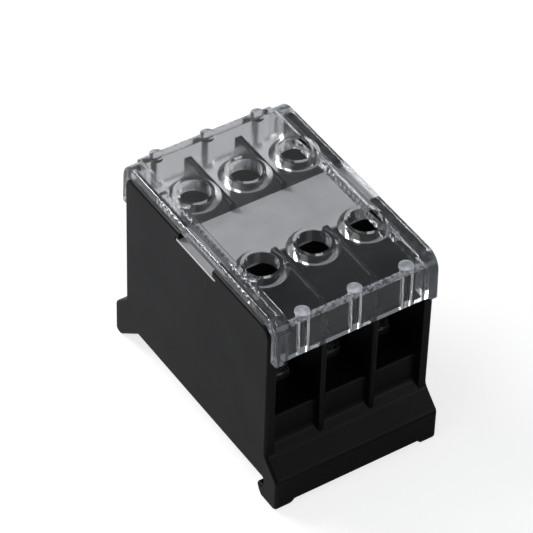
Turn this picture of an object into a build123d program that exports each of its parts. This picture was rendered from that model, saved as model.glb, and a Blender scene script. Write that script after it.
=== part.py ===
from build123d import *
import os

# Three-pole screw terminal block that clips on a 35 mm rail.
# X runs across the poles, Y along the wires, Z up. Front is -Y.
# The origin is the centre of the footprint, at the bottom of the feet.

# Poles and walls
pole_count = 3
pole_pitch = 9.5
barrier_thickness = 1.1
side_wall_thickness = 1.65
wall_height = 36.6
wall_corner_radius = 2.1
wall_edge_radius = 0.5

# Feet and rail recess
foot_flare_reach = 3.4
foot_flare_low = 6.4
foot_flare_high = 9.6
foot_blend_radius = 1.7
foot_corner_radius = 1.0
foot_width = 2.35
apron_lift = 1.3
recess_height = 4.4
rail_width = 35.0
rail_flange_thickness = 1.0
rail_play = 0.2
hook_wall = 3.8
hook_reach = 1.9
hook_groove_height = 1.8
hook_toe_length = 4.3
back_room = 9.4
back_slope_gap = 2.4
back_toe_length = 1.6

# Bays
floor_height = 16.2
floor_setback = 1.2
apron_slope = 4.4
barrier_top_setback = 1.5
barrier_edge_radius = 0.5
screw_row = 9.7
screw_pocket_depth = 5.6
cross_wall_thickness = 1.4
core_width = 3.2
core_depth = 4.6
core_spacing = 4.6
core_corner_radius = 0.8

# Marking strip
strip_width = 11.4
strip_thickness = 0.4
strip_sink = 1.85
strip_play = 0.1
strip_lip = 0.9

# Clear cover
cover_play = 0.1
cover_setback = 0.4
cover_plate_thickness = 1.4
cover_corner_radius = 0.8
cover_inner_radius = 0.3
skirt_thickness = 1.1
skirt_height = 5.8
skirt_flare = 0.3
frame_width = 2.65
frame_rise = 0.5
frame_step = 0.1
frame_corner_radius = 3.0
frame_edge_radius = 0.4
tab_drop = 0.6
tongue_depth = 1.6
rib_length = 27.0
rib_height = 1.45
rib_pitch = 1.2
rib_depth = 0.25
post_radius = 1.05
stud_radius = 1.2
stud_rise = 0.3
stud_setback = 1.15
collar_height = 1.0
collar_base_radius = 4.35
collar_top_radius = 3.3
driver_hole_radius = 2.75

# Conductor bars and their screws
bar_width = 7.4
bar_length = 26.8
bar_thickness = 1.2
bar_corner_radius = 0.8
bar_play = 0.15
burr_radius = 2.4
burr_height = 1.5
burr_play = 0.15
window_height = 3.4
fixing_shank_radius = 1.2
fixing_head_radius = 2.1
fixing_head_height = 1.3
fixing_length = 6.0
fixing_play = 0.02

# Terminal screws, spring washers and clamp plates
screw_radius = 1.74
screw_length = 7.4
screw_head_radius = 2.9
screw_head_height = 2.2
screw_play = 0.06
recess_radius = 1.7
recess_depth = 1.3
recess_slot = 0.75
washer_radius = 2.85
washer_thickness = 0.8
washer_gap = 0.5
washer_cut_angle = 25
clamp_side = 7.0
clamp_thickness = 1.0
clamp_corner_radius = 0.6
clamp_groove = 0.5

# Rail latch and its spring
latch_width = 6.8
latch_flange_width = 9.0
latch_flange_thickness = 0.9
latch_top_play = 0.1
latch_bottom = 0.5
latch_play = 0.15
latch_end_setback = 0.3
latch_catch = 1.4
latch_travel = 2.6
latch_ramp = 2.1
latch_tab_gap = 0.6
latch_tab_thickness = 1.4
latch_tab_width = 3.0
latch_tab_height = 2.9
latch_slot_width = 4.4
latch_slot_height = 1.0
latch_slot_depth = 2.5
spring_radius = 1.25
spring_wire = 0.4
spring_turns = 5
spring_spare = 0.6

# Places that follow from the sizes
foot_span = hook_wall + rail_play + rail_width + back_room
half_foot = foot_span / 2
half_wall = half_foot - foot_flare_reach
wall_length = 2 * half_wall
half_width = (pole_count * pole_pitch - barrier_thickness) / 2 + side_wall_thickness
inner_half = half_width - side_wall_thickness
poles = [(i - (pole_count - 1) / 2) * pole_pitch for i in range(pole_count)]
barriers = [(i - (pole_count - 2) / 2) * pole_pitch for i in range(pole_count - 1)]
sides = {"front": -1, "rear": 1}

groove_wall = hook_wall - half_foot
rail_front_edge = groove_wall + rail_play
rail_back_edge = rail_front_edge + rail_width
back_slope_start = rail_back_edge + back_slope_gap
hook_tip = groove_wall + hook_reach
groove_floor = recess_height - hook_groove_height

strip_seat_height = wall_height - strip_sink
strip_top = strip_seat_height + strip_thickness
slot_half = strip_width / 2 + strip_play
slot_top = strip_top + strip_play
lip_half = slot_half - strip_lip
cross_wall_outer = strip_width / 2

plate_top = wall_height + cover_plate_thickness
frame_top = plate_top + frame_rise
skirt_inner = half_wall + cover_play
half_cover = skirt_inner + skirt_thickness
half_cover_width = half_width - cover_setback
frame_inner = half_cover_width - frame_width
tongue_outer = inner_half - 2 * cover_play
skirt_bottom = wall_height - skirt_height
tab_bottom = skirt_bottom - tab_drop
barrier_top = wall_height - cover_play
barrier_upper_half = half_wall - barrier_top_setback

bar_top = floor_height + bar_thickness
plate_rest = bar_top + clamp_thickness
head_rest = plate_rest + washer_thickness
latch_top = recess_height - rail_flange_thickness - latch_top_play
latch_flange_bottom = latch_top - latch_flange_thickness
latch_nose = rail_back_edge - latch_catch
latch_end = half_foot - latch_end_setback
latch_tab_start = rail_back_edge + latch_tab_gap
spring_room = spring_turns * spring_wire + latch_travel + spring_spare
spring_start = latch_tab_start + latch_tab_thickness
spring_end = spring_start + spring_room
spring_height = latch_top + spring_radius + latch_play


def block(x0, x1, y0, y1, z0, z1):
    """Plain block between two corners."""
    centre = ((x0 + x1) / 2, (y0 + y1) / 2, (z0 + z1) / 2)
    return Pos(*centre) * Box(x1 - x0, y1 - y0, z1 - z0)


def slab(outline, x0, x1):
    """Side-view face in Y and Z, run across the block from x0 to x1."""
    return Pos(x0, 0, 0) * extrude(Plane.YZ * outline, x1 - x0)


def mirrored(solid):
    """A solid together with its copy on the other side of the middle."""
    return solid + mirror(solid, Plane.YZ)


def side_outline():
    """Side view of a side wall with both feet, the rail recess and the fixed hook."""
    corners = [
        ((-half_foot, 0), foot_corner_radius),
        ((-half_foot, foot_flare_low), foot_corner_radius),
        ((-half_wall, foot_flare_high), foot_blend_radius),
        ((-half_wall, wall_height), wall_corner_radius),
        ((half_wall, wall_height), wall_corner_radius),
        ((half_wall, foot_flare_high), foot_blend_radius),
        ((half_foot, foot_flare_low), foot_corner_radius),
        ((half_foot, 0), foot_corner_radius),
        ((half_foot - back_toe_length, 0), 0.4),
        ((back_slope_start, recess_height), 1.0),
        ((groove_wall, recess_height), 0.4),
        ((groove_wall, groove_floor), 0.5),
        ((hook_tip, groove_floor - 0.3), 0.4),
        ((hook_tip - 0.6, 0.9), 0.5),
        ((-half_foot + hook_toe_length, 0), 0.3),
    ]
    points = [point for point, radius in corners]
    radii = [radius for point, radius in corners]
    return make_face(FilletPolyline(*points, radius=radii, close=True))


def base_region():
    """Side-view zone that the floor block keeps: floors, aprons and their slopes."""
    front = half_wall - floor_setback
    corners = [
        ((-half_foot - 1, -1), 0),
        ((-half_foot - 1, foot_flare_low - 1), 0),
        ((-half_foot, foot_flare_low), foot_corner_radius),
        ((-front, foot_flare_low + apron_slope), 1.6),
        ((-front, floor_height), 0.5),
        ((front, floor_height), 0.5),
        ((front, foot_flare_low + apron_slope), 1.6),
        ((half_foot, foot_flare_low), foot_corner_radius),
        ((half_foot + 1, foot_flare_low - 1), 0),
        ((half_foot + 1, -1), 0),
    ]
    points = [point for point, radius in corners]
    radii = [radius for point, radius in corners]
    return make_face(FilletPolyline(*points, radius=radii, close=True))


def side_walls():
    """Two outer walls with rounded upright edges and the slot for the strip."""
    wall = slab(side_outline(), inner_half, half_width)
    upright = [
        edge
        for edge in wall.edges().filter_by(Axis.Z)
        if edge.center().X > half_width - 0.01 and abs(edge.center().Y) > half_wall - 0.01
    ]
    wall = fillet(upright, wall_edge_radius)
    slot = block(inner_half - 1, half_width + 1, -slot_half, slot_half, strip_seat_height, slot_top)
    mouth = block(inner_half - 1, half_width + 1, -lip_half, lip_half, slot_top, wall_height + 1)
    return mirrored(wall - slot - mouth)


def pole_barrier(x):
    """Thin wall between two poles, set back at the top to clear the cover's skirt."""
    top_half = barrier_upper_half
    corners = [
        ((-half_wall, recess_height + 1), 0),
        ((-half_wall, skirt_bottom - cover_play), 0.3),
        ((-top_half, skirt_bottom - cover_play), 0.3),
        ((-top_half, barrier_top), 1.0),
        ((-slot_half, barrier_top), 0.3),
        ((-slot_half, strip_seat_height), 0),
        ((slot_half, strip_seat_height), 0),
        ((slot_half, barrier_top), 0.3),
        ((top_half, barrier_top), 1.0),
        ((top_half, skirt_bottom - cover_play), 0.3),
        ((half_wall, skirt_bottom - cover_play), 0.3),
        ((half_wall, recess_height + 1), 0),
    ]
    points = [point for point, radius in corners]
    radii = [radius for point, radius in corners]
    outline = make_face(FilletPolyline(*points, radius=radii, close=True))
    wall = slab(outline, x - barrier_thickness / 2, x + barrier_thickness / 2)
    plan = RectangleRounded(barrier_thickness, wall_length, barrier_edge_radius)
    section = RectangleRounded(barrier_thickness, 2 * barrier_top, barrier_edge_radius)
    wall &= Pos(x, 0, 0) * extrude(plan, wall_height)
    return wall & Pos(x, 0, 0) * extrude(Plane.XZ * section, wall_length, both=True)


def floor_block():
    """Bay floors over the rail, with the two aprons between the feet."""
    outline = side_outline() & base_region()
    solid = slab(outline, -inner_half, inner_half)
    foot_inner = half_width - foot_width
    gap = make_face(
        Polyline(
            (-foot_inner, -1),
            (-foot_inner, 0),
            (-foot_inner + apron_lift, apron_lift),
            (foot_inner - apron_lift, apron_lift),
            (foot_inner, 0),
            (foot_inner, -1),
            close=True,
        )
    )
    under = extrude(Plane.XZ * gap, half_foot + 1, both=True)
    return solid, under


def screw_places():
    """Centre of every terminal screw, with its end of the block."""
    return [(x, side * screw_row) for x in poles for side in sides.values()]


def housing():
    """One-piece black moulding."""
    floor, under = floor_block()
    body = side_walls() + floor
    for x in barriers:
        body += pole_barrier(x)
    inner = cross_wall_outer - cross_wall_thickness
    for side in sides.values():
        y0, y1 = sorted((side * inner, side * cross_wall_outer))
        body += block(-inner_half, inner_half, y0, y1, floor_height, strip_seat_height)
    body -= under
    for x in poles:
        window = bar_width / 2 + bar_play
        reach = cross_wall_outer + 1
        body -= block(x - window, x + window, -reach, reach, floor_height, floor_height + window_height)
        pilot = Cylinder(fixing_shank_radius + fixing_play, fixing_length)
        body -= Pos(x, 0, bar_top - fixing_length / 2) * pilot
    for x, y in screw_places():
        pocket = Cylinder(burr_radius + burr_play, screw_pocket_depth)
        body -= Pos(x, y, floor_height - screw_pocket_depth / 2) * pocket
    body -= cores()
    return body - latch_guide()


def cores():
    """Rounded pockets under the floor that keep the moulding's sections thin."""
    front_room = (hook_tip + 1.8, -cross_wall_thickness * 1.5)
    back_room = (cross_wall_thickness * 1.5, latch_nose)
    pockets = Part()
    for x in poles:
        for offset in (-core_spacing / 2, core_spacing / 2):
            for y0, y1 in (front_room, back_room):
                shape = RectangleRounded(core_width, y1 - y0, core_corner_radius)
                shape = Pos(x + offset, (y0 + y1) / 2, recess_height) * shape
                pockets += extrude(shape, core_depth)
    return pockets


def latch_guide():
    """T-shaped way through the rear foot, with the room for the spring above it."""
    wide = latch_flange_width / 2 + latch_play
    narrow = latch_width / 2 + latch_play
    start = latch_nose - 1
    low = latch_flange_bottom - latch_play
    high = latch_top + latch_play
    guide = block(-wide, wide, start, half_foot + 1, low, high)
    guide += block(-narrow, narrow, start, half_foot + 1, -1, low)
    room = latch_tab_width / 2 + latch_play
    front = latch_tab_start - latch_play
    top = latch_top + latch_tab_height + latch_play
    return guide + block(-room, room, front, spring_end, latch_top, top)


def cover_view(reach, low, top, corner_radius, inner_radius):
    """Side view of a part of the cover: its top, with a skirt hung at each end."""
    corners = [
        ((-reach - skirt_flare, low), 0),
        ((-reach, top), corner_radius),
        ((reach, top), corner_radius),
        ((reach + skirt_flare, low), 0),
        ((skirt_inner, low), 0),
        ((skirt_inner, wall_height), inner_radius),
        ((-skirt_inner, wall_height), inner_radius),
        ((-skirt_inner, low), 0),
    ]
    points = [point for point, radius in corners]
    radii = [radius for point, radius in corners]
    return make_face(FilletPolyline(*points, radius=radii, close=True))


def cover_plate():
    """Plate between the side frames, with the plain part of both skirts."""
    view = cover_view(half_cover, skirt_bottom, plate_top, cover_corner_radius, cover_inner_radius)
    return slab(view, -frame_inner, frame_inner)


def side_frame():
    """Thick band along one side that turns down in a round at each end into a corner tab."""
    reach = half_cover + frame_step
    inner_radius = wall_corner_radius - cover_play
    view = cover_view(reach, tab_bottom, frame_top, frame_corner_radius, inner_radius)
    frame = slab(view, frame_inner, half_cover_width)
    outer = [
        edge
        for edge in frame.edges()
        if edge.center().X > half_cover_width - 0.01
        and edge.center().Z > tab_bottom + 0.01
        and (edge.center().Z > plate_top or abs(edge.center().Y) > skirt_inner + 0.2)
    ]
    frame = fillet(outer, frame_edge_radius)
    deep = reach + skirt_flare + 1
    return frame - block(frame_inner - 1, tongue_outer, -deep, deep, tab_bottom - 1, skirt_bottom)


def collar(x, y):
    """Raised cone round a driver hole."""
    seat = plate_top - cover_plate_thickness / 2
    outline = make_face(
        Polyline(
            (0, seat),
            (collar_base_radius, seat),
            (collar_base_radius, plate_top),
            (collar_top_radius, plate_top + collar_height),
            (0, plate_top + collar_height),
            close=True,
        )
    )
    return Pos(x, y, 0) * revolve(Plane.XZ * outline, Axis.Z)


def hold_down_rib():
    """Toothed rib under the side frame that keeps the strip down."""
    middle = wall_height - rib_height / 2
    rib = Pos(0, 0, middle) * Box(2 * tongue_outer, rib_length, rib_height)
    rib -= Pos(0, 0, middle) * Box(2 * frame_inner, rib_length + 1, rib_height + 1)
    count = int(rib_length / rib_pitch)
    for i in range(count):
        y = (i - (count - 1) / 2) * rib_pitch
        notch = Pos(frame_inner, y, middle) * Cylinder(rib_depth, rib_height)
        rib -= mirrored(notch)
    return rib


def cover():
    """One-piece clear cover that drops over the housing."""
    body = cover_plate() + mirrored(side_frame())
    for side in sides.values():
        y0, y1 = sorted((side * skirt_inner, side * (skirt_inner - tongue_depth)))
        body += mirrored(block(frame_inner, tongue_outer, y0, y1, skirt_bottom, wall_height))
        for x in poles:
            y = side * (half_cover - stud_setback)
            post = Cylinder(post_radius, plate_top - skirt_bottom)
            body += Pos(x, y, (plate_top + skirt_bottom) / 2) * post
            body += Pos(x, y, plate_top) * Cylinder(stud_radius, 2 * stud_rise)
    body += hold_down_rib()
    for x, y in screw_places():
        body += collar(x, y)
    for x, y in screw_places():
        body -= Pos(x, y, plate_top) * Cylinder(driver_hole_radius, 4 * collar_height)
    return body


def marking_strip():
    """Flat strip that slides in through the side walls."""
    face = RectangleRounded(2 * half_width, strip_width, 0.4)
    return extrude(Pos(0, 0, strip_seat_height) * face, strip_thickness)


def conductor_bar(x):
    """Flat bar with a threaded burr under each terminal screw."""
    face = RectangleRounded(bar_width, bar_length, bar_corner_radius)
    bar = extrude(Pos(0, 0, floor_height) * face, bar_thickness)
    burr = Pos(0, 0, floor_height - burr_height / 2) * Cylinder(burr_radius, burr_height)
    for side in sides.values():
        bar += Pos(0, side * screw_row, 0) * burr
    for side in sides.values():
        hole = Cylinder(screw_radius + screw_play, 4 * (burr_height + bar_thickness))
        bar -= Pos(0, side * screw_row, floor_height) * hole
    bar -= Pos(0, 0, floor_height) * Cylinder(fixing_shank_radius + fixing_play, 4 * bar_thickness)
    return Pos(x, 0, 0) * bar


def cross_recess(radius, depth, slot, top):
    """Cross-shaped driver recess, sunk from the top of a screw head."""
    arms = block(-radius, radius, -slot / 2, slot / 2, top - depth, top + 1)
    return arms + block(-slot / 2, slot / 2, -radius, radius, top - depth, top + 1)


def bar_fixing_screw(x):
    """Small pan-head screw that holds a bar to the floor."""
    head = Pos(0, 0, bar_top + fixing_head_height / 2) * Cylinder(fixing_head_radius, fixing_head_height)
    head = fillet(head.edges().group_by(Axis.Z)[-1], 0.5)
    head -= cross_recess(1.1, 0.8, 0.5, bar_top + fixing_head_height)
    shank = Pos(0, 0, bar_top - fixing_length / 2) * Cylinder(fixing_shank_radius, fixing_length)
    shank = chamfer(shank.edges().group_by(Axis.Z)[0], 0.5)
    return Pos(x, 0, 0) * (head + shank)


def terminal_screw(x, y):
    """Pan-head terminal screw with a cross recess."""
    top = head_rest + screw_head_height
    head = Pos(0, 0, head_rest + screw_head_height / 2) * Cylinder(screw_head_radius, screw_head_height)
    head = fillet(head.edges().group_by(Axis.Z)[-1], 0.7)
    head -= cross_recess(recess_radius, recess_depth, recess_slot, top)
    shank = Pos(0, 0, head_rest - screw_length / 2) * Cylinder(screw_radius, screw_length)
    shank = chamfer(shank.edges().group_by(Axis.Z)[0], 0.5)
    return Pos(x, y, 0) * (head + shank)


def spring_washer(x, y):
    """Split washer between the screw head and the clamp plate."""
    hole = Cylinder(screw_radius + screw_play, washer_thickness)
    ring = Cylinder(washer_radius, washer_thickness) - hole
    cut = Box(washer_radius + 1, washer_gap, 3 * washer_thickness)
    ring -= Pos(washer_radius / 2, 0, 0) * Rot(washer_cut_angle, 0, 0) * cut
    return Pos(x, y, plate_rest + washer_thickness / 2) * ring


def clamp_plate(x, y):
    """Square pressure plate, grooved underneath to grip the wire."""
    face = RectangleRounded(clamp_side, clamp_side, clamp_corner_radius)
    plate = extrude(Pos(0, 0, bar_top) * face, clamp_thickness)
    plate -= Pos(0, 0, bar_top) * Cylinder(screw_radius + screw_play, 3 * clamp_thickness)
    for offset in (-1, 1):
        groove = Rot(0, 45, 0) * Box(clamp_groove, clamp_side + 1, clamp_groove)
        plate -= Pos(offset * (clamp_side + 2 * screw_radius) / 4, 0, bar_top) * groove
    return Pos(x, y, 0) * plate


def rail_latch():
    """Moulded slider whose nose catches the rail's back edge."""
    side = make_face(
        Polyline(
            (latch_nose, latch_top),
            (latch_end, latch_top),
            (latch_end, latch_bottom),
            (latch_nose + latch_ramp, latch_bottom),
            (latch_nose, latch_top - latch_flange_thickness),
            close=True,
        )
    )
    body = slab(side, -latch_width / 2, latch_width / 2)
    flange = latch_flange_width / 2
    body += block(-flange, flange, back_slope_start, latch_end, latch_flange_bottom, latch_top)
    tab = latch_tab_width / 2
    root = latch_top - latch_flange_thickness
    body += block(-tab, tab, latch_tab_start, spring_start, root, latch_top + latch_tab_height)
    slot = latch_slot_width / 2
    middle = (latch_bottom + latch_flange_bottom) / 2
    low = middle - latch_slot_height / 2
    high = middle + latch_slot_height / 2
    return body - block(-slot, slot, latch_end - latch_slot_depth, latch_end + 1, low, high)


def latch_spring():
    """Compression spring that pushes the latch back under the rail."""
    length = spring_room - spring_wire
    coil_radius = spring_radius - spring_wire / 2
    path = Helix(pitch=length / spring_turns, height=length, radius=coil_radius)
    section = Plane(origin=path @ 0, z_dir=path % 0) * Circle(spring_wire / 2)
    coil = sweep(section, path=path)
    return Pos(0, spring_start + spring_wire / 2, spring_height) * Rot(-90, 0, 0) * coil


pieces = {
    "housing": housing(),
    "cover": cover(),
    "marking_strip": marking_strip(),
    "rail_latch": rail_latch(),
    "latch_spring": latch_spring(),
}
for number, x in enumerate(poles, start=1):
    pieces[f"conductor_bar_{number}"] = conductor_bar(x)
    pieces[f"bar_fixing_screw_{number}"] = bar_fixing_screw(x)
    for end, side in sides.items():
        y = side * screw_row
        pieces[f"terminal_screw_{end}_{number}"] = terminal_screw(x, y)
        pieces[f"spring_washer_{end}_{number}"] = spring_washer(x, y)
        pieces[f"clamp_plate_{end}_{number}"] = clamp_plate(x, y)

os.makedirs("parts", exist_ok=True)
for name, shape in pieces.items():
    export_step(shape, f"parts/{name}.step")
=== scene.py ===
import math
import bpy
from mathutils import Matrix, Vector


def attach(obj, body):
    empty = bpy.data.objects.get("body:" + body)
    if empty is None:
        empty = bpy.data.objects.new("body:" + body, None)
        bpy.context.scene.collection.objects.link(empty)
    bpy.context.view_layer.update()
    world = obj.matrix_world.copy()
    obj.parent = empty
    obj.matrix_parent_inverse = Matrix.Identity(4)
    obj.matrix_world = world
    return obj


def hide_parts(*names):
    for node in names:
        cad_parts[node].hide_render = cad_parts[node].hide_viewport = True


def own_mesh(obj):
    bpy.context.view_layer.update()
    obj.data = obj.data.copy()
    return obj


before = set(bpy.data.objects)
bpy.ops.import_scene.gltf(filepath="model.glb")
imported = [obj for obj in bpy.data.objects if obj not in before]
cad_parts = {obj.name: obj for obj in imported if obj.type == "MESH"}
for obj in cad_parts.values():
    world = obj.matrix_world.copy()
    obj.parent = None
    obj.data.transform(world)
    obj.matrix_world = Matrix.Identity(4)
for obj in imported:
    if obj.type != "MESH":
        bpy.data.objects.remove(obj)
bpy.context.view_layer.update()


# Housing
# One black moulding: two side walls with feet, two pole barriers, the bay floors and the cross walls.
# It comes out of a polished mould with a satin skin, and its edges are broken by a small radius.

housing_edge = 0.00018
same_place = 2e-6
same_plane = math.radians(0.5)
sharp_corner = math.radians(35)
smooth_curve = math.radians(40)


def joined_copy(node, name):
    """A copy of a CAD node with its triangles joined into whole faces, under a new name."""
    piece = bpy.data.objects.new(name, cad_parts[node].data.copy())
    bpy.context.scene.collection.objects.link(piece)
    bpy.ops.object.select_all(action="DESELECT")
    piece.select_set(True)
    bpy.context.view_layer.objects.active = piece
    bpy.ops.mesh.customdata_custom_splitnormals_clear()
    bpy.ops.object.mode_set(mode="EDIT")
    bpy.ops.mesh.select_all(action="SELECT")
    bpy.ops.mesh.remove_doubles(threshold=same_place)
    bpy.ops.mesh.dissolve_limited(angle_limit=same_plane)
    bpy.ops.object.mode_set(mode="OBJECT")
    piece.data.materials.clear()
    return piece


def break_edges(piece, width):
    """Rounds the sharp edges of the active piece and shades it smooth."""
    bevel = piece.modifiers.new("broken edges", "BEVEL")
    bevel.width = width
    bevel.segments = 2
    bevel.limit_method = "ANGLE"
    bevel.angle_limit = sharp_corner
    bevel.use_clamp_overlap = True
    bevel.miter_outer = "MITER_ARC"
    bpy.ops.object.modifier_apply(modifier=bevel.name)
    bpy.ops.object.shade_smooth_by_angle(angle=smooth_curve)
    flat = piece.modifiers.new("flat faces", "WEIGHTED_NORMAL")
    flat.keep_sharp = True
    bpy.ops.object.modifier_apply(modifier=flat.name)


def new_material(name):
    """A material with the place of each point on its piece at hand."""
    material = bpy.data.materials.new(name)
    material.use_nodes = True
    material.node_tree.nodes.new("ShaderNodeTexCoord").name = "Place"
    return material


def surface(material, quality):
    """The socket of the main shader that sets a quality of the surface."""
    return material.node_tree.nodes["Principled BSDF"].inputs[quality]


def noise(material, scale, detail=3.0, stretch=None):
    """Cloudy grain over a piece, drawn out along its axes where a stretch is given."""
    tree = material.node_tree
    texture = tree.nodes.new("ShaderNodeTexNoise")
    texture.inputs["Scale"].default_value = scale
    texture.inputs["Detail"].default_value = detail
    place = tree.nodes["Place"].outputs["Object"]
    if stretch:
        mapping = tree.nodes.new("ShaderNodeMapping")
        mapping.inputs["Scale"].default_value = stretch
        tree.links.new(place, mapping.inputs["Vector"])
        place = mapping.outputs["Vector"]
    tree.links.new(place, texture.inputs["Vector"])
    return texture.outputs["Fac"]


def vary(material, quality, grain, low, high):
    """Lets a quality of the surface go from low to high with a grain, and returns its colour."""
    tree = material.node_tree
    blend = tree.nodes.new("ShaderNodeValToRGB")
    blend.color_ramp.elements[0].position = 0.35
    blend.color_ramp.elements[1].position = 0.65
    for element, value in zip(blend.color_ramp.elements, (low, high)):
        element.color = value if isinstance(value, tuple) else (value, value, value, 1)
    tree.links.new(grain, blend.inputs["Fac"])
    tree.links.new(blend.outputs["Color"], surface(material, quality))
    return blend.outputs["Color"]


def roughen(material, grain, depth, strength):
    """Raises a fine relief on the surface."""
    tree = material.node_tree
    relief = tree.nodes.new("ShaderNodeBump")
    relief.inputs["Distance"].default_value = depth
    relief.inputs["Strength"].default_value = strength
    tree.links.new(grain, relief.inputs["Height"])
    tree.links.new(relief.outputs["Normal"], surface(material, "Normal"))


black_moulding = new_material("black_moulding")
vary(
    black_moulding, "Base Color", noise(black_moulding, 60),
    (0.0020, 0.0021, 0.0024, 1), (0.0028, 0.0029, 0.0033, 1),
)
vary(black_moulding, "Roughness", noise(black_moulding, 120, 4), 0.33, 0.38)
roughen(black_moulding, noise(black_moulding, 5200, 2), 0.00001, 0.5)
surface(black_moulding, "Specular IOR Level").default_value = 0.14

housing = joined_copy("housing", "moulded_housing")
break_edges(housing, housing_edge)
housing.data.materials.append(black_moulding)
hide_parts("housing")
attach(housing, "housing")


# Conductor bars and their fixing screws
# Tinned brass strips, blanked and bent, with burrs threaded for the terminal screws.
# One lies on the floor of each pole, and a small zinc-plated screw holds it in the middle well.

tinned_brass = new_material("tinned_brass")
vary(
    tinned_brass, "Base Color", noise(tinned_brass, 900, 4, (1, 6, 1)),
    (0.62, 0.60, 0.55, 1), (0.74, 0.72, 0.67, 1),
)
vary(tinned_brass, "Roughness", noise(tinned_brass, 2600, 4, (6, 1, 1)), 0.28, 0.42)
surface(tinned_brass, "Metallic").default_value = 1.0

zinc_plate = new_material("zinc_plate")
vary(zinc_plate, "Base Color", noise(zinc_plate, 1200, 4), (0.56, 0.57, 0.59, 1), (0.68, 0.69, 0.71, 1))
vary(zinc_plate, "Roughness", noise(zinc_plate, 3000, 4), 0.22, 0.36)
roughen(zinc_plate, noise(zinc_plate, 4200, 2), 0.000008, 0.4)
surface(zinc_plate, "Metallic").default_value = 1.0


def finish_node(node, material):
    """Gives a CAD node that stays its own finish."""
    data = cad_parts[node].data
    data.materials.clear()
    data.materials.append(material)


for pole in ("1", "2", "3"):
    finish_node("conductor_bar_" + pole, tinned_brass)
    finish_node("bar_fixing_screw_" + pole, zinc_plate)


# Terminal screws with their spring washers and clamp plates
# Zinc-plated steel: a cross-recessed pan-head screw that carries a split washer and a square plate.
# There is one set at the front and one at the rear of each pole.

for end in ("front", "rear"):
    for pole in ("1", "2", "3"):
        finish_node("terminal_screw_" + end + "_" + pole, zinc_plate)
        finish_node("spring_washer_" + end + "_" + pole, zinc_plate)
        finish_node("clamp_plate_" + end + "_" + pole, zinc_plate)


# Rail latch and its spring
# A black moulded slider under the rear foot, pushed under the rail by a small coil of drawn wire.
# The rear end of the coil sits in the foot, and the coil stays at its rest length on the housing.

latch_edge = 0.00012

spring_wire = new_material("spring_wire")
vary(spring_wire, "Base Color", noise(spring_wire, 2000, 3), (0.50, 0.50, 0.51, 1), (0.60, 0.60, 0.61, 1))
vary(spring_wire, "Roughness", noise(spring_wire, 2600, 3), 0.20, 0.30)
surface(spring_wire, "Metallic").default_value = 1.0

coil = joined_copy("latch_spring", "latch_coil")
bpy.ops.object.shade_smooth_by_angle(angle=smooth_curve)
coil.data.materials.append(spring_wire)
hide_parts("latch_spring")
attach(coil, "housing")
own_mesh(coil)

latch_moulding = new_material("latch_moulding")
vary(
    latch_moulding, "Base Color", noise(latch_moulding, 60),
    (0.0026, 0.0026, 0.0029, 1), (0.0036, 0.0036, 0.0039, 1),
)
vary(latch_moulding, "Roughness", noise(latch_moulding, 1100, 4), 0.38, 0.50)
roughen(latch_moulding, noise(latch_moulding, 5200, 2), 0.00001, 0.5)

latch = joined_copy("rail_latch", "moulded_latch")
break_edges(latch, latch_edge)
latch.data.materials.append(latch_moulding)
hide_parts("rail_latch")
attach(latch, "latch")


# Marking strip
# A thin strip of light grey plastic that slides in across the middle, under the cover.
# Its side-facing end faces are painted paler than its face, a painted highlight of the side light.

# Painted highlight: the strip's end faces, turned to the side lamp, get this paler colour.
painted_end_highlight_colour = (0.86, 0.84, 0.84, 1)

grey_strip = new_material("grey_strip")
face_colour = vary(
    grey_strip, "Base Color", noise(grey_strip, 260, 5),
    (0.29, 0.285, 0.29, 1), (0.335, 0.33, 0.335, 1),
)
vary(grey_strip, "Roughness", noise(grey_strip, 1500, 3), 0.45, 0.6)
roughen(grey_strip, noise(grey_strip, 3800, 2), 0.00001, 0.5)
tree = grey_strip.node_tree
facing = tree.nodes.new("ShaderNodeNewGeometry")
directions = tree.nodes.new("ShaderNodeSeparateXYZ")
tree.links.new(facing.outputs["True Normal"], directions.inputs["Vector"])
sideways = tree.nodes.new("ShaderNodeMath")
sideways.operation = "ABSOLUTE"
tree.links.new(directions.outputs["X"], sideways.inputs[0])
# Faces turned sideways take the painted highlight colour in place of the face colour.
painted_end_highlight = tree.nodes.new("ShaderNodeMix")
painted_end_highlight.data_type = "RGBA"
painted_end_highlight.inputs["B"].default_value = painted_end_highlight_colour
tree.links.new(sideways.outputs["Value"], painted_end_highlight.inputs["Factor"])
tree.links.new(face_colour, painted_end_highlight.inputs["A"])
tree.links.new(painted_end_highlight.outputs["Result"], surface(grey_strip, "Base Color"))
finish_node("marking_strip", grey_strip)


# Clear cover
# One clear polycarbonate moulding: a flat plate with six collars, side rails, and a skirt at each end.
# It comes out of a polished mould and drops over the walls. The studs on its front posts are frosted.

cover_edge = 0.00012
clear_tint = (0.96, 0.962, 0.968, 1)
thick_tint = (0.72, 0.73, 0.745, 1)
shadow_tint = (0.84, 0.86, 0.87, 1)
milky = (0.86, 0.90, 0.96, 1)
refractive_index = 1.5
scuffs_start = 0.002
scuffs_end = 0.014

pole_pitch = 0.0095
collar_row = 0.0097
over_plate = 0.03804
between_rails = 0.0122
rail_inside = 0.0128
stud_front = 0.0195
skirt_inside = 0.0211
skirt_bend = 0.0371
tab_bottom = 0.0305
cone_inside = 0.0032
cone_outside = 0.0044
lip_inside = 0.0026
lip_outside = 0.0034
lip_bottom = 0.0388
lip_near_side = 0.0008


def graded(tree, source, start, end, low, high):
    """A value that goes from low to high as its source goes from start to end."""
    grade = tree.nodes.new("ShaderNodeMapRange")
    grade.inputs["From Min"].default_value = start
    grade.inputs["From Max"].default_value = end
    grade.inputs["To Min"].default_value = low
    grade.inputs["To Max"].default_value = high
    tree.links.new(source, grade.inputs["Value"])
    return grade.outputs["Result"]


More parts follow.
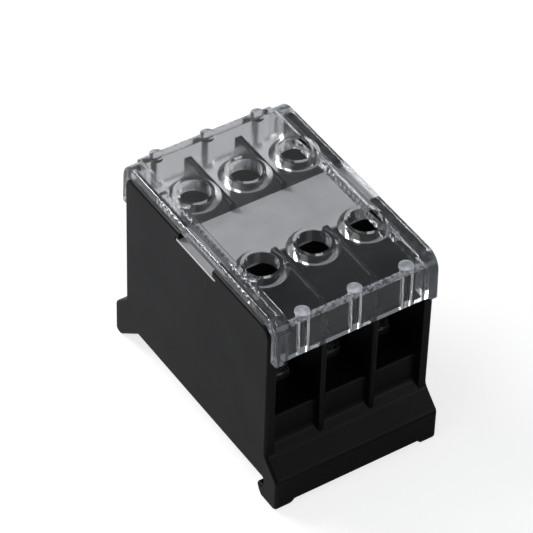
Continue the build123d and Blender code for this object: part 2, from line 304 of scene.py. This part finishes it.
def mixed(tree, share, first, second):
    """One surface that changes to a second one by the share of it."""
    mix = tree.nodes.new("ShaderNodeMixShader")
    tree.links.new(share, mix.inputs["Fac"])
    tree.links.new(first, mix.inputs[1])
    tree.links.new(second, mix.inputs[2])
    return mix.outputs["Shader"]


def clear_plastic(name, tint, haze, haze_scale, roughness, ripple, ripple_scale):
    """Clear plastic with a little milky haze and a rippled skin, scuffed towards the rear."""
    material = new_material(name)
    surface(material, "Base Color").default_value = tint
    surface(material, "Transmission Weight").default_value = 1.0
    surface(material, "IOR").default_value = refractive_index
    roughen(material, noise(material, ripple_scale, 3), ripple, 0.5)
    tree = material.node_tree
    along = tree.nodes.new("ShaderNodeSeparateXYZ")
    tree.links.new(tree.nodes["Place"].outputs["Object"], along.inputs["Vector"])
    scuffs = graded(tree, along.outputs["Y"], scuffs_start, scuffs_end, *roughness)
    tree.links.new(scuffs, surface(material, "Roughness"))
    milk = tree.nodes.new("ShaderNodeBsdfDiffuse")
    milk.inputs["Color"].default_value = milky
    amount = graded(tree, noise(material, haze_scale, 4), 0.35, 0.65, *haze)
    skin = tree.nodes["Principled BSDF"].outputs["BSDF"]
    hazy = mixed(tree, amount, skin, milk.outputs["BSDF"])
    rays = tree.nodes.new("ShaderNodeLightPath")
    let_through = tree.nodes.new("ShaderNodeBsdfTransparent")
    let_through.inputs["Color"].default_value = shadow_tint
    whole = mixed(tree, rays.outputs["Is Shadow Ray"], hazy, let_through.outputs["BSDF"])
    tree.links.new(whole, tree.nodes["Material Output"].inputs["Surface"])
    return material


clear_moulding = clear_plastic(
    "clear_moulding", clear_tint, haze=(0.002, 0.010), haze_scale=90,
    roughness=(0.03, 0.14), ripple=0.00002, ripple_scale=700,
)
frosted_studs = clear_plastic(
    "frosted_studs", clear_tint, haze=(0.20, 0.55), haze_scale=1500,
    roughness=(0.35, 0.35), ripple=0.00004, ripple_scale=2500,
)
rippled_rim = clear_plastic(
    "rippled_rim", clear_tint, haze=(0.05, 0.55), haze_scale=1500,
    roughness=(0.10, 0.15), ripple=0.00050, ripple_scale=1300,
)
satin_cones = clear_plastic(
    "satin_cones", clear_tint, haze=(0.00, 0.03), haze_scale=600,
    roughness=(0.12, 0.30), ripple=0.00003, ripple_scale=900,
)
# Painted highlight: a milky finish, put only on the lit side of each collar lip, stands in for its bright
# crescent.
painted_lip_highlight = clear_plastic(
    "painted_lip_highlight", clear_tint, haze=(0.35, 0.75), haze_scale=900,
    roughness=(0.30, 0.35), ripple=0.00003, ripple_scale=1500,
)
thick_rails = clear_plastic(
    "thick_rails", thick_tint, haze=(0.02, 0.08), haze_scale=600,
    roughness=(0.05, 0.14), ripple=0.00002, ripple_scale=700,
)
cover_finishes = [clear_moulding, frosted_studs, rippled_rim, satin_cones, painted_lip_highlight, thick_rails]


def cover_finish(middle):
    """The finish of the cover's face that has this middle."""
    across = abs(middle.x)
    from_axis = min(
        math.hypot(middle.x - x, middle.y - y)
        for x in (-pole_pitch, 0, pole_pitch)
        for y in (-collar_row, collar_row)
    )
    on_lit_side = middle.y < -collar_row - lip_near_side or middle.y > collar_row
    if across < between_rails and middle.y < -stud_front and middle.z > over_plate:
        return frosted_studs
    if across < between_rails and abs(middle.y) > skirt_inside and middle.z > skirt_bend:
        return rippled_rim
    if cone_inside < from_axis < cone_outside and middle.z > over_plate:
        return satin_cones
    # The lip faces on the lit side take the painted highlight finish.
    if lip_inside < from_axis < lip_outside and middle.z > lip_bottom and on_lit_side:
        return painted_lip_highlight
    if across > rail_inside and middle.z > tab_bottom:
        return thick_rails
    return clear_moulding


cover = joined_copy("cover", "clear_cover")
break_edges(cover, cover_edge)
for material in cover_finishes:
    cover.data.materials.append(material)
for face in cover.data.polygons:
    face.material_index = cover_finishes.index(cover_finish(face.center))
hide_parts("cover")
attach(cover, "cover")


# Floor, light and camera
# A plain white table with a white studio round it.
# One soft lamp stands behind the block, one on the left and a weaker one in front.

table_size = 6
lamp_aim = Vector((0, 0, 0.02))

bpy.ops.object.select_all(action="DESELECT")
bpy.ops.mesh.primitive_plane_add(size=table_size, location=(0, 0, 0))
floor = bpy.context.object
floor.name = "floor"
white_table = new_material("white_table")
surface(white_table, "Base Color").default_value = (0.62, 0.62, 0.635, 1)
surface(white_table, "Roughness").default_value = 0.8
tree = white_table.node_tree
rays = tree.nodes.new("ShaderNodeLightPath")
paper = tree.nodes.new("ShaderNodeBsdfDiffuse")
paper.inputs["Color"].default_value = (0.35, 0.35, 0.35, 1)
glow = tree.nodes.new("ShaderNodeEmission")
glow.inputs["Strength"].default_value = 0.78
seen = tree.nodes.new("ShaderNodeAddShader")
tree.links.new(paper.outputs["BSDF"], seen.inputs[0])
tree.links.new(glow.outputs["Emission"], seen.inputs[1])
lit = tree.nodes["Principled BSDF"].outputs["BSDF"]
table_top = mixed(tree, rays.outputs["Is Camera Ray"], lit, seen.outputs["Shader"])
tree.links.new(table_top, tree.nodes["Material Output"].inputs["Surface"])
floor.data.materials.append(white_table)

world = bpy.data.worlds.new("studio")
bpy.context.scene.world = world
world.use_nodes = True
tree = world.node_tree
soft = tree.nodes["Background"]
soft.inputs["Color"].default_value = (0.9, 0.95, 1.0, 1)
soft.inputs["Strength"].default_value = 0.2
white = tree.nodes.new("ShaderNodeBackground")
white.inputs["Color"].default_value = (1, 1, 1, 1)
white.inputs["Strength"].default_value = 1.0
rays = tree.nodes.new("ShaderNodeLightPath")
studio = mixed(tree, rays.outputs["Is Camera Ray"], soft.outputs["Background"], white.outputs["Background"])
tree.links.new(studio, tree.nodes["World Output"].inputs["Surface"])


def soft_lamp(name, place, size, power):
    """A square lamp that faces the middle of the block."""
    data = bpy.data.lights.new(name, "AREA")
    data.shape = "SQUARE"
    data.size = size
    data.energy = power
    lamp = bpy.data.objects.new(name, data)
    bpy.context.scene.collection.objects.link(lamp)
    lamp.location = place
    lamp.rotation_euler = (lamp_aim - Vector(place)).to_track_quat("-Z", "Y").to_euler()


soft_lamp("key_lamp", (-0.18, 0.34, 0.36), size=0.2, power=1.9)
soft_lamp("fill_lamp", (-0.5, -0.1, 0.5), size=0.3, power=0.7)
soft_lamp("front_lamp", (0.35, -0.5, 0.25), size=0.3, power=0.5)

data = bpy.data.cameras.new("camera")
data.lens = 216.37
data.sensor_width = 36
camera = bpy.data.objects.new("camera", data)
bpy.context.scene.collection.objects.link(camera)
camera.location = (-0.208417, -0.303115, 0.37149)
camera.rotation_euler = [math.radians(angle) for angle in (46.7723, -1.3535, -32.9804)]
bpy.context.scene.camera = camera
bpy.context.scene.view_settings.view_transform = "Standard"
